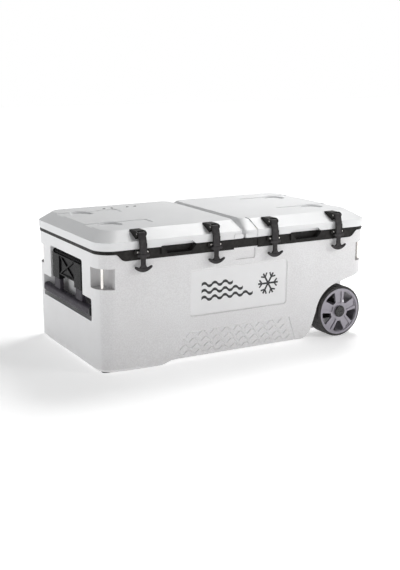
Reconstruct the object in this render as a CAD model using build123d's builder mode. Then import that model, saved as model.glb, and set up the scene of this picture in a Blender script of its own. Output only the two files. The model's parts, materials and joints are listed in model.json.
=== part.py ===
from build123d import *

import math
import os

# Large two-lid wheeled cooler. Millimetres, +Z up, +X towards the wheel end, -Y the latch side.
# The origin is the bottom centre of the closed cooler's bounding box.

os.makedirs("parts", exist_ok=True)

# ---------------------------------------------------------------- driving dimensions
length = 1000.0
width = 540.0
end_corner = 56.0

# Heights of the tub, trim and lids
foot_block_z = 3.0
underside_z = 15.0
tub_top_z = 368.0
trim_top_z = 378.0
lid_bottom_z = 379.5
lid_band_z = 404.0
lid_top_z = 431.0

# Outer tub, which draws in slightly towards the floor
tub_wall = 5.0
tub_top_half = (497.0, 267.0)
tub_bottom_half = (494.0, 261.0)
bottom_chamfer = 10.0
foot_block_end_x = -290.0
tread_floor_start_x = -254.0

# Inner liner
liner_wall = 3.0
liner_floor_z = 57.0
liner_corner = 40.0
liner_top_half = (447.0, 217.0)
liner_bottom_half = (438.0, 208.0)
well_start_x = 250.0
well_inner_y = 130.0
well_top_z = 250.0

# Wheels and the notches they stand in
wheel_x = 399.0
wheel_radius = 87.5
tyre_outer_y = 253.0
tyre_inner_y = 183.0
rim_radius = 79.0
axle_radius = 6.0
running_gap = 0.05
notch_radius = 108.0
notch_inner_y = 172.0
notch_top_slope = 14.0
notch_foot = [(293.0, 105.0), (277.0, 57.0), (269.0, 37.0), (253.0, 20.0), (236.0, 13.0), (236.0, -10.0)]
wheel_end_x = 464.0

# Corner pockets with their lashing rods
pocket_x = 448.0
pocket_y = 195.0
pocket_corner = 30.0
pocket_z = (262.0, 325.0)
rod_radius = 4.75
rod_place = (477.0, 238.0)
rod_anchor = 14.0

# Tow handle and its recess in the left end wall
recess_floor_x = -459.0
recess_upper = (131.0, 219.0, 333.0)
recess_lower = (198.0, 155.0, 225.0)
handle_pivot = (-478.0, 314.0)
handle_pin_radius = 4.0
barrel_radius = 9.0
yoke_half = 119.5
sleeve_inner_y = 60.0
sleeve_bottom_z = 233.0
yoke_bottom_z = 250.0
yoke_front_x = -495.0
yoke_back_x = -476.0
arm_half = 26.0
arm_centre_y = 90.0
grip_half = 184.0
grip_cap = 5.0
grip_z = (168.0, 198.0)
grip_x = (-499.5, -473.0)

# Latches
latch_places = (-362.0, -109.0, 109.0, 362.0)
latch_pivot = (-268.0, 425.0)
latch_strap_half = 12.5
latch_pin_radius = 2.5
keeper_place = (-274.5, 371.0)
keeper_radius = 2.5
keeper_lug = (20.0, 26.0)
mount_half = 16.0

# Rear hinges
hinge_place = (280.0, 390.0)
knuckle_radius = 8.0
hinge_rod_radius = 3.0
hinge_centres = (140.0, 380.0)
lid_knuckle_half = 16.0
body_knuckle_length = 14.0
knuckle_gap = 0.5

# Lids
lid_wall = 4.0
split_half = 4.0
split_corner = 12.0
split_corner_top = 26.0
lid_top_end_x = 458.0
left_lid_top_split_x = 6.0
right_lid_top_split_x = 24.0
lid_top_front_y = -215.0
lid_top_rear_y = 240.0
dish_radius = 39.0
dish_depth = 8.0
dish_x = 384.0
dish_places_y = (-100.0, 130.0)
channel_half = 29.0
channel_depth = 2.5
plug_places_x = (-281.0, -252.0, -193.0, -164.0)
plug_y = 178.0
plug_radius = 5.0

# Finger lifts shared by lid and trim
lift_x = 236.0
lift_half_open = 60.0
lift_half_top = 48.0
lift_half_bottom = 41.0
lift_top_z = 390.0
lift_bottom_z = 359.0
lift_back_y = -257.0

# Trim
trim_half = (498.0, 268.0)
trim_bead = 1.2
band_bottom_z = 347.0
band_face_y = 271.0
band_full_x = 412.0
band_end_x = 456.0
band_tip_z = 371.0
mouth_half = (444.0, 214.0)
mouth_corner = 37.0
crossbar_half = 24.0
crossbar_bottom_z = 344.0

# Drain in the wheel end wall
drain_z = 88.0
drain_tube_radius = 13.0
drain_bore_radius = 9.5
drain_cap_travel = 12.0

# Front and rear wall panels: left x, right x, bottom z, top z
badge_panel = (-190.0, 168.0, 148.0, 292.0)
panel_depth = 3.0
panel_lift = 2.0
panel_slope = 6.0
tread_top = (-205.0, 186.0, 100.0)
tread_bottom = (-254.0, 222.0)


def wall_y(z):
    """Distance of the drafted front or rear wall from the middle plane at height z."""
    slope = (tub_top_half[1] - tub_bottom_half[1]) / (tub_top_z - foot_block_z)
    return tub_bottom_half[1] + slope * (z - foot_block_z)


def wall_plane(side, lift=0.0):
    """Plane on the front (side -1) or rear (side 1) wall, with its y axis up the wall."""
    rise = tub_top_half[1] - tub_bottom_half[1]
    run = tub_top_z - foot_block_z
    plane = Plane(
        origin=(0, side * wall_y(0), 0),
        x_dir=(-side, 0, 0),
        z_dir=(0, side * run, -rise),
    )
    return plane.offset(lift)


def notch_crown(inset):
    """Point where the wheel notch's arc runs into its sloping top."""
    lean = math.radians(notch_top_slope)
    radius = notch_radius + inset
    return (wheel_x - radius * math.sin(lean), wheel_radius + radius * math.cos(lean))


def notch_top(x, inset):
    """Height of the wheel notch's sloping top at x."""
    crown_x, crown_z = notch_crown(inset)
    return crown_z + (x - crown_x) * math.tan(math.radians(notch_top_slope))


def block(x_range, y_range, z_range):
    """Box that spans the three ranges."""
    with BuildPart() as box:
        with BuildSketch(Plane.XY.offset(z_range[0])):
            with Locations((sum(x_range) / 2, sum(y_range) / 2)):
                Rectangle(x_range[1] - x_range[0], y_range[1] - y_range[0])
        extrude(amount=z_range[1] - z_range[0])
    return box.part


# ---------------------------------------------------------------- tub
def tub_envelope(inset):
    """Outside of the tub moved inward by inset, so that its recesses grow by as much."""
    with BuildPart() as envelope:
        with BuildSketch(Plane.XY.offset(foot_block_z + inset)):
            RectangleRounded(
                2 * (tub_bottom_half[0] - inset), 2 * (tub_bottom_half[1] - inset), end_corner - inset
            )
        with BuildSketch(Plane.XY.offset(tub_top_z)):
            RectangleRounded(2 * (tub_top_half[0] - inset), 2 * (tub_top_half[1] - inset), end_corner - inset)
        loft()
        chamfer(envelope.edges().group_by(Axis.Z)[0], bottom_chamfer)

        # Only the end block without wheels reaches the feet; the rest of the underside is higher.
        with BuildSketch(Plane.XZ):
            with BuildLine():
                Polyline(
                    (foot_block_end_x - inset, -width),
                    (foot_block_end_x - inset, foot_block_z + inset),
                    (tread_floor_start_x - inset, underside_z + inset),
                    (length, underside_z + inset),
                    (length, -width),
                    close=True,
                )
            make_face()
        extrude(amount=width, both=True, mode=Mode.SUBTRACT)

        # Wheel notches: round over the wheel, then rising towards the end
        foot = [(x - 0.8 * inset, z + 0.6 * inset) for x, z in notch_foot]
        crown = notch_crown(inset)
        for side in (-1, 1):
            with BuildSketch(Plane.XZ.offset(-side * (notch_inner_y - inset))):
                with Locations((wheel_x, wheel_radius)):
                    Circle(notch_radius + inset)
                with BuildLine():
                    end_corners = ((length, foot[-1][1]), (length, notch_top(length, inset)))
                    Polyline(crown, *foot, *end_corners, close=True)
                make_face()
            extrude(amount=-side * width, mode=Mode.SUBTRACT)

        # End wall between the wheels, set back under the overhang
        wall_x = wheel_end_x - inset
        with BuildSketch(Plane.XZ):
            with BuildLine():
                Polyline(
                    (wall_x, -10),
                    (wall_x, notch_top(wall_x, inset)),
                    (length, notch_top(length, inset)),
                    (length, -10),
                    close=True,
                )
            make_face()
        extrude(amount=notch_inner_y, both=True, mode=Mode.SUBTRACT)

        # Corner pockets, open to both walls
        pocket_height = pocket_z[1] - pocket_z[0] + 2 * inset
        with BuildSketch(Plane.XY.offset(pocket_z[0] - inset)):
            for side_x in (-1, 1):
                for side_y in (-1, 1):
                    with Locations((side_x * (pocket_x + 60), side_y * (pocket_y + 60))):
                        RectangleRounded(120 + 2 * inset, 120 + 2 * inset, pocket_corner + inset)
        extrude(amount=pocket_height, mode=Mode.SUBTRACT)

        # Tow handle recess in the left end wall
        with BuildSketch(Plane.YZ.offset(recess_floor_x + inset)):
            for half, low, high in (recess_upper, recess_lower):
                with Locations((0, (low + high) / 2)):
                    RectangleRounded(2 * (half + inset), high - low + 2 * inset, 8 + inset)
        extrude(amount=-length, mode=Mode.SUBTRACT)

        # Seats for the finger lift blocks of the trim
        with BuildSketch(Plane.XY.offset(tub_top_z)):
            with Locations((-lift_x, -width / 2), (lift_x, -width / 2)):
                Rectangle(2 * (lift_half_open + 2 + inset), 2 * (width / 2 + lift_back_y + 3 + inset))
        extrude(amount=-(tub_top_z - lift_bottom_z + 2 + inset), mode=Mode.SUBTRACT)
    return envelope.part


def liner_envelope(inset):
    """Outside of the inner liner moved inward by inset, with its wheel well steps."""
    with BuildPart() as envelope:
        with BuildSketch(Plane.XY.offset(liner_floor_z + inset)):
            RectangleRounded(
                2 * (liner_bottom_half[0] - inset), 2 * (liner_bottom_half[1] - inset), liner_corner - inset
            )
        with BuildSketch(Plane.XY.offset(tub_top_z)):
            RectangleRounded(
                2 * (liner_top_half[0] - inset), 2 * (liner_top_half[1] - inset), liner_corner - inset
            )
        loft()
        fillet(envelope.edges().group_by(Axis.Z)[0], 12)
        for side in (-1, 1):
            with BuildSketch(Plane.XY):
                with Locations((well_start_x + width / 2, side * (well_inner_y + width / 2))):
                    RectangleRounded(width + 2 * inset, width + 2 * inset, 25)
            extrude(amount=well_top_z + inset, mode=Mode.SUBTRACT)
    return envelope.part


def fastener_heads(plane, places, radius, height):
    """Round fastener bodies that stand on a plane at the given places."""
    with BuildPart() as heads:
        with BuildSketch(plane):
            with Locations(*places):
                Circle(radius)
        extrude(amount=height)
    return heads.part


tub_outside = tub_envelope(0)
foam_outside = tub_envelope(tub_wall)
liner_outside = liner_envelope(0)
liner_inside = liner_envelope(liner_wall)

rod_places = [(sx * rod_place[0], sy * rod_place[1]) for sx in (-1, 1) for sy in (-1, 1)]
with BuildPart() as tie_down_rods:
    with BuildSketch(Plane.XY.offset(pocket_z[0] - rod_anchor)):
        with Locations(*rod_places):
            Circle(rod_radius)
    extrude(amount=pocket_z[1] - pocket_z[0] + 2 * rod_anchor)
tie_down_rods.part.label = "tie_down_rods"
export_step(tie_down_rods.part, "parts/tie_down_rods.step")

# Axle brackets: a flange on each wheel notch's inner wall with a socket set into the foam
axle_flange = 84.0
axle_flange_thickness = 5.0
axle_socket_radius = 14.0
axle_socket_length = 30.0
with BuildPart() as bracket_blanks:
    for side in (-1, 1):
        with BuildSketch(Plane.XZ.offset(-side * notch_inner_y)):
            with Locations((wheel_x, wheel_radius)):
                RectangleRounded(axle_flange, axle_flange, 10)
        extrude(amount=-side * axle_flange_thickness)
        with BuildSketch(Plane.XZ.offset(-side * notch_inner_y)):
            with Locations((wheel_x, wheel_radius)):
                Circle(axle_socket_radius)
        extrude(amount=side * axle_socket_length)

axle_end_y = 246.0
with BuildPart() as wheel_axles:
    for side in (-1, 1):
        with BuildSketch(Plane.XZ.offset(-side * (notch_inner_y - axle_socket_length + 3))):
            with Locations((wheel_x, wheel_radius)):
                Circle(axle_radius)
        extrude(amount=-side * (axle_end_y - notch_inner_y + axle_socket_length - 3))
wheel_axles.part.label = "wheel_axles"
export_step(wheel_axles.part, "parts/wheel_axles.step")

flange_hole = axle_flange / 2 - 11
flange_places = [
    (wheel_x + dx * flange_hole, wheel_radius + dz * flange_hole) for dx in (-1, 1) for dz in (-1, 1)
]
with BuildPart() as axle_bracket_screws:
    for side in (-1, 1):
        face_y = notch_inner_y + axle_flange_thickness
        head_plane = Plane.XZ.offset(-side * face_y)
        add(fastener_heads(head_plane, flange_places, 5, -side * 3))
        add(fastener_heads(head_plane, flange_places, 2.5, side * 22))
axle_bracket_screws.part.label = "axle_bracket_screws"
export_step(axle_bracket_screws.part, "parts/axle_bracket_screws.step")

with BuildPart() as axle_brackets:
    add(bracket_blanks.part)
    add(wheel_axles.part, mode=Mode.SUBTRACT)
    add(axle_bracket_screws.part, mode=Mode.SUBTRACT)
axle_brackets.part.label = "axle_brackets"
export_step(axle_brackets.part, "parts/axle_brackets.step")

# Tow handle bracket on the recess floor, its screws and the pivot pin
bracket_thickness = 4.0
bracket_half = 127.0
bracket_z = (258.0, 325.0)
lug_gap = 0.5
bracket_screw_places = [(y, z) for y in (-96, 96) for z in (272, 296)]
with BuildPart() as bracket_screws:
    screw_plane = Plane.YZ.offset(recess_floor_x - bracket_thickness)
    add(fastener_heads(screw_plane, bracket_screw_places, 5, -2.5))
    add(fastener_heads(screw_plane, bracket_screw_places, 2.25, 11))
bracket_screws.part.label = "bracket_screws"
export_step(bracket_screws.part, "parts/bracket_screws.step")

with BuildPart() as handle_pivot_pin:
    with BuildSketch(Plane.XZ):
        with Locations(handle_pivot):
            Circle(handle_pin_radius)
    extrude(amount=bracket_half, both=True)
handle_pivot_pin.part.label = "handle_pivot_pin"
export_step(handle_pivot_pin.part, "parts/handle_pivot_pin.step")

with BuildPart() as handle_bracket:
    with BuildSketch(Plane.YZ.offset(recess_floor_x)):
        with Locations((0, sum(bracket_z) / 2)):
            RectangleRounded(2 * bracket_half, bracket_z[1] - bracket_z[0], 4)
    extrude(amount=-bracket_thickness)
    lug_width = bracket_half - yoke_half - lug_gap
    for side in (-1, 1):
        with BuildSketch(Plane.XZ.offset(-side * (yoke_half + lug_gap))):
            with Locations(handle_pivot):
                Circle(11)
            with Locations((handle_pivot[0] + 8, handle_pivot[1] - 4)):
                Rectangle(22, 30)
        extrude(amount=-side * lug_width)
    add(handle_pivot_pin.part, mode=Mode.SUBTRACT)
    add(bracket_screws.part, mode=Mode.SUBTRACT)
handle_bracket.part.label = "handle_bracket"
export_step(handle_bracket.part, "parts/handle_bracket.step")

# Drain fitting: a flanged threaded tube through the wheel end wall, and its nut inside
drain_face_x = wheel_end_x + 4
drain_tube_end_x = wheel_end_x + 22
drain_inner_x = 430.0
with BuildPart() as drain_fitting:
    with BuildSketch(Plane.YZ.offset(drain_inner_x)):
        with Locations((0, drain_z)):
            Circle(drain_tube_radius)
    extrude(amount=drain_tube_end_x - drain_inner_x)
    with BuildSketch(Plane.YZ.offset(wheel_end_x)):
        with Locations((0, drain_z)):
            Circle(24)
    extrude(amount=drain_face_x - wheel_end_x)
    with BuildSketch(Plane.YZ.offset(drain_inner_x)):
        with Locations((0, drain_z)):
            Circle(drain_bore_radius)
    extrude(amount=length, mode=Mode.SUBTRACT)
drain_fitting.part.label = "drain_fitting"
export_step(drain_fitting.part, "parts/drain_fitting.step")

with BuildPart() as drain_hole:
    with BuildSketch(Plane.YZ.offset(drain_inner_x)):
        with Locations((0, drain_z)):
            Circle(drain_tube_radius)
    extrude(amount=wheel_end_x - drain_inner_x)

with BuildPart() as drain_nut:
    with BuildSketch(Plane.YZ.offset(drain_inner_x + 1)):
        with Locations((0, drain_z)):
            RegularPolygon(19, 6)
    extrude(amount=20)
    add(liner_inside, mode=Mode.INTERSECT)
    add(drain_hole.part, mode=Mode.SUBTRACT)
drain_nut.part.label = "drain_nut"
export_step(drain_nut.part, "parts/drain_nut.step")

# Rear hinge bracket screws, two in the foot of each bracket
bracket_foot_y = 273.0
hinge_screw_z = 354.0
hinge_screw_places = [
    (side * centre + offset, hinge_screw_z)
    for side in (-1, 1)
    for centre in hinge_centres
    for offset in (-17, 17)
]
with BuildPart() as hinge_screws:
    add(fastener_heads(Plane.XZ.offset(-bracket_foot_y), hinge_screw_places, 4, -2))
    add(fastener_heads(Plane.XZ.offset(-bracket_foot_y), hinge_screw_places, 2, 20))
hinge_screws.part.label = "hinge_screws"
export_step(hinge_screws.part, "parts/hinge_screws.step")

# Tub skin, foam and liner
with BuildPart() as outer_shell:
    add(tub_outside)
    add(foam_outside, mode=Mode.SUBTRACT)

    # Recessed badge panel and tread panel on the front and rear walls
    for side in (-1, 1):
        left, right, low, high = badge_panel
        for lift, growth in ((panel_lift, panel_slope), (-panel_depth, 0)):
            with BuildSketch(wall_plane(side, lift)):
                with Locations((-side * (left + right) / 2, (low + high) / 2)):
                    RectangleRounded(right - left + 2 * growth, high - low + 2 * growth, 8 + growth)
        loft(mode=Mode.SUBTRACT)
        with BuildSketch(wall_plane(side, panel_lift)):
            with BuildLine():
                Polyline(
                    (-side * tread_top[0], tread_top[2]),
                    (-side * tread_top[1], tread_top[2]),
                    (-side * tread_bottom[1], -6),
                    (-side * tread_bottom[0], -6),
                    close=True,
                )
            make_face()
        extrude(amount=-(panel_depth + panel_lift), taper=35, mode=Mode.SUBTRACT)

    # Short recess in the wall under the middle of the trim
    for lift, growth in ((panel_lift, 1.5), (-panel_depth, 0)):
        with BuildSketch(wall_plane(-1, lift)):
            with Locations((6, 329)):
                RectangleRounded(74 + 2 * growth, 32 + 2 * growth, 4 + growth)
    loft(mode=Mode.SUBTRACT)

    # Raised lozenges of the tread panel, in alternating directions
    for row in range(4):
        row_z = 29 + 19.5 * row
        row_left = tread_bottom[0] + 28 + 10.5 * row
        columns = int((tread_bottom[1] - tread_bottom[0] - 56 - 19 * row) / 21.5)
        for column in range(columns + 1):
            tilt = 40 if (row + column) % 2 else -40
            with BuildSketch(wall_plane(-1, -panel_depth)):
                with Locations(Location((row_left + 21.5 * column, row_z), tilt)):
                    SlotOverall(21, 5)
            extrude(amount=1.9, taper=25)

    add(tie_down_rods.part, mode=Mode.SUBTRACT)
    add(bracket_screws.part, mode=Mode.SUBTRACT)
    add(bracket_blanks.part, mode=Mode.SUBTRACT)
    add(axle_bracket_screws.part, mode=Mode.SUBTRACT)
    add(hinge_screws.part, mode=Mode.SUBTRACT)
    add(drain_hole.part, mode=Mode.SUBTRACT)
outer_shell.part.label = "outer_shell"
export_step(outer_shell.part, "parts/outer_shell.step")

# Foam round a plain box that clears the liner, cut into straight sections
with BuildPart() as foam_cavity:
    with BuildSketch(Plane.XY.offset(liner_floor_z)):
        Rectangle(2 * liner_bottom_half[0], 2 * liner_bottom_half[1])
    with BuildSketch(Plane.XY.offset(tub_top_z)):
        Rectangle(2 * liner_top_half[0], 2 * liner_top_half[1])
    loft()
    for side in (-1, 1):
        with BuildSketch(Plane.XY):
            with Locations((well_start_x + width / 2, side * (well_inner_y + width / 2))):
                RectangleRounded(width, width, 25)
        extrude(amount=well_top_z, mode=Mode.SUBTRACT)

with BuildPart() as foam_body:
    add(foam_outside)
    add(foam_cavity.part, mode=Mode.SUBTRACT)
    lift_seat = block((-length, length), (-width, lift_back_y + 8), (lift_bottom_z - 7, trim_top_z))
    add(lift_seat, mode=Mode.SUBTRACT)
    add(tie_down_rods.part, mode=Mode.SUBTRACT)
    add(bracket_screws.part, mode=Mode.SUBTRACT)
    add(bracket_blanks.part, mode=Mode.SUBTRACT)
    add(axle_bracket_screws.part, mode=Mode.SUBTRACT)
    add(hinge_screws.part, mode=Mode.SUBTRACT)
    add(drain_hole.part, mode=Mode.SUBTRACT)

side_x, side_y = (liner_bottom_half[0] + 5, liner_bottom_half[1])
end_x = liner_bottom_half[0]
above_floor = (liner_floor_z, tub_top_z)
with BuildPart() as foam_floor:
    add(block((-length, length), (-width, width), (0, liner_floor_z)))
    add(foam_body.part, mode=Mode.INTERSECT)
foam_floor.part.label = "foam_floor"
export_step(foam_floor.part, "parts/foam_floor.step")

with BuildPart() as foam_side_walls:
    add(block((-side_x, side_x), (-width, -side_y), above_floor))
    add(block((-side_x, side_x), (side_y, width), above_floor))
    add(foam_body.part, mode=Mode.INTERSECT)
foam_side_walls.part.label = "foam_side_walls"
export_step(foam_side_walls.part, "parts/foam_side_walls.step")

with BuildPart() as foam_end_walls:
    add(block((-length, -end_x), (-side_y, side_y), above_floor))
    add(block((end_x, length), (-side_y, side_y), above_floor))
    add(foam_body.part, mode=Mode.INTERSECT)
foam_end_walls.part.label = "foam_end_walls"
export_step(foam_end_walls.part, "parts/foam_end_walls.step")

with BuildPart() as foam_wheel_blocks:
    add(block((well_start_x, end_x), (-side_y, -well_inner_y), (liner_floor_z, well_top_z)))
    add(block((well_start_x, end_x), (well_inner_y, side_y), (liner_floor_z, well_top_z)))
    add(foam_body.part, mode=Mode.INTERSECT)
foam_wheel_blocks.part.label = "foam_wheel_blocks"
export_step(foam_wheel_blocks.part, "parts/foam_wheel_blocks.step")

with BuildPart() as foam_corners:
    for corner_x in ((-length, -side_x), (side_x, length)):
        add(block(corner_x, (-width, -side_y), above_floor))
        add(block(corner_x, (side_y, width), above_floor))
    add(foam_body.part, mode=Mode.INTERSECT)
foam_corners.part.label = "foam_corners"
export_step(foam_corners.part, "parts/foam_corners.step")

with BuildPart() as inner_liner:
    add(liner_outside)
    add(liner_inside, mode=Mode.SUBTRACT)
    add(drain_hole.part, mode=Mode.SUBTRACT)
inner_liner.part.label = "inner_liner"
export_step(inner_liner.part, "parts/inner_liner.step")

with BuildPart() as centre_crossbar:
    with BuildSketch(Plane.XY.offset(crossbar_bottom_z)):
        Rectangle(2 * crossbar_half, width)
    extrude(amount=tub_top_z - crossbar_bottom_z)
    add(liner_inside, mode=Mode.INTERSECT)
centre_crossbar.part.label = "centre_crossbar"
export_step(centre_crossbar.part, "parts/centre_crossbar.step")

# ---------------------------------------------------------------- trim ring round the mouths
keeper_y, keeper_z = keeper_place
with BuildPart() as keeper_pins:
    with BuildSketch(Plane.YZ):
        with Locations(keeper_place):
            Circle(keeper_radius)
    keeper_bar = extrude(amount=keeper_lug[1], both=True, mode=Mode.PRIVATE)
    for latch_x in latch_places:
        add(Pos(latch_x, 0, 0) * keeper_bar)
keeper_pins.part.label = "keeper_pins"
export_step(keeper_pins.part, "parts/keeper_pins.step")

with BuildPart() as front_band:
    with BuildSketch(Plane.XY.offset(band_bottom_z - 5)):
        RectangleRounded(2 * (tub_top_half[0] + 4), 2 * band_face_y, end_corner + 4)
        RectangleRounded(2 * tub_top_half[0], 2 * tub_top_half[1], end_corner, mode=Mode.SUBTRACT)
    extrude(amount=trim_top_z - band_bottom_z + 5)
    with BuildSketch(Plane.XZ):
        with BuildLine():
            left_sweep = Spline(
                (-band_end_x, band_tip_z), (-band_full_x, band_bottom_z), tangents=[(1, 0), (1, 0)]
            )
            Line(left_sweep @ 1, (band_full_x, band_bottom_z))
            right_sweep = Spline(
                (band_full_x, band_bottom_z), (band_end_x, band_tip_z), tangents=[(1, 0), (1, 0)]
            )
            Polyline(right_sweep @ 1, (band_end_x, trim_top_z), (-band_end_x, trim_top_z), left_sweep @ 0)
        make_face()
    extrude(amount=width, mode=Mode.INTERSECT)

with BuildPart() as rim_trim:
    with BuildSketch(Plane.XY.offset(tub_top_z)):
        RectangleRounded(2 * trim_half[0], 2 * trim_half[1], end_corner + 1)
    extrude(amount=trim_top_z - tub_top_z)
    with BuildSketch(Plane.XY.offset(tub_top_z + 4)):
        RectangleRounded(
            2 * (trim_half[0] + trim_bead), 2 * (trim_half[1] + trim_bead), end_corner + 1 + trim_bead
        )
    extrude(amount=1.6)
    add(front_band.part)

    # Blocks that carry the finger lifts, and the lugs that hold the keeper pins
    lift_block_y = (lift_back_y - 3 - band_face_y) / 2
    with BuildSketch(Plane.XY.offset(trim_top_z)):
        with Locations((-lift_x, lift_block_y), (lift_x, lift_block_y)):
            Rectangle(2 * (lift_half_open + 2), band_face_y + lift_back_y + 9)
    extrude(amount=-(trim_top_z - lift_bottom_z + 2))
    for latch_x in latch_places:
        for side in (-1, 1):
            lug_centre = latch_x + side * (keeper_lug[0] + keeper_lug[1]) / 2
            with BuildSketch(Plane.XZ.offset(band_face_y - 2)):
                with Locations((lug_centre, keeper_z + 0.5)):
                    RectangleRounded(keeper_lug[1] - keeper_lug[0], 12, 1.2)
            extrude(amount=9)

    # Mouths of the two compartments
    mouth_centre = (mouth_half[0] + crossbar_half) / 2
    with BuildSketch(Plane.XY.offset(tub_top_z)):
        with Locations((-mouth_centre, 0), (mouth_centre, 0)):
            RectangleRounded(mouth_half[0] - crossbar_half, 2 * mouth_half[1], mouth_corner)
    extrude(amount=trim_top_z, mode=Mode.SUBTRACT)

    # Finger lifts narrow downwards, and the band is set back in the middle
    for side in (-1, 1):
        with BuildSketch(Plane.XZ.offset(-lift_back_y)):
            with BuildLine():
                Polyline(
                    (side * lift_x - lift_half_open, trim_top_z + 1),
                    (side * lift_x - lift_half_bottom, lift_bottom_z),
                    (side * lift_x + lift_half_bottom, lift_bottom_z),
                    (side * lift_x + lift_half_open, trim_top_z + 1),
                    close=True,
                )
            make_face()
        extrude(amount=width, mode=Mode.SUBTRACT)
    with BuildSketch(Plane.XZ.offset(tub_top_half[1] + 1.2)):
        with Locations((6, trim_top_z)):
            Rectangle(90, 2 * (trim_top_z - band_bottom_z + 5))
    extrude(amount=width, mode=Mode.SUBTRACT)
    with BuildSketch(Plane.XZ.offset(tub_top_half[1])):
        with Locations((6, band_bottom_z)):
            Rectangle(90, 8)
    extrude(amount=width, mode=Mode.SUBTRACT)
    add(keeper_pins.part, mode=Mode.SUBTRACT)
rim_trim.part.label = "rim_trim"
export_step(rim_trim.part, "parts/rim_trim.step")

# ---------------------------------------------------------------- feet and front decal
foot_half = (92.0, 34.0)
foot_x = -384.0
foot_y = 205.0
with BuildPart() as rubber_feet:
    with BuildSketch():
        with Locations((foot_x, -foot_y), (foot_x, foot_y)):
            RectangleRounded(2 * foot_half[0], 2 * foot_half[1], 12)
    extrude(amount=foot_block_z)
rubber_feet.part.label = "rubber_feet"
export_step(rubber_feet.part, "parts/rubber_feet.step")

decal_thickness = 0.4
flake_centre = (98.0, 222.0)
with BuildPart() as front_decal:
    with BuildSketch(wall_plane(-1, -panel_depth)):
        # A six-armed frost star
        with Locations(flake_centre):
            with PolarLocations(0, 6):
                with Locations((19, 0)):
                    Rectangle(38, 6)
            with PolarLocations(24, 6):
                with Locations(Location((4, 6), 50), Location((4, -6), -50)):
                    Rectangle(17, 5)
        # Three wave bands, longest at the bottom
        for row, (wave_left, waves) in enumerate(((-150, 5), (-150, 4), (-150, 3))):
            wave_z = 194 + 22 * row
            for wave in range(waves):
                with BuildLine():
                    x0 = wave_left + 38 * wave
                    crest = ThreePointArc((x0, wave_z), (x0 + 9.5, wave_z + 5), (x0 + 19, wave_z))
                    trough = ThreePointArc(crest @ 1, (x0 + 28.5, wave_z - 5), (x0 + 38, wave_z))
                    Line(trough @ 1, (x0 + 38, wave_z + 9))
                    back_trough = ThreePointArc(
                        (x0 + 38, wave_z + 9), (x0 + 28.5, wave_z + 4), (x0 + 19, wave_z + 9)
                    )
                    back_crest = ThreePointArc(back_trough @ 1, (x0 + 9.5, wave_z + 14), (x0, wave_z + 9))
                    Line(back_crest @ 1, crest @ 0)
                make_face()
    extrude(amount=decal_thickness)
front_decal.part.label = "front_decal"
export_step(front_decal.part, "parts/front_decal.step")

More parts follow.
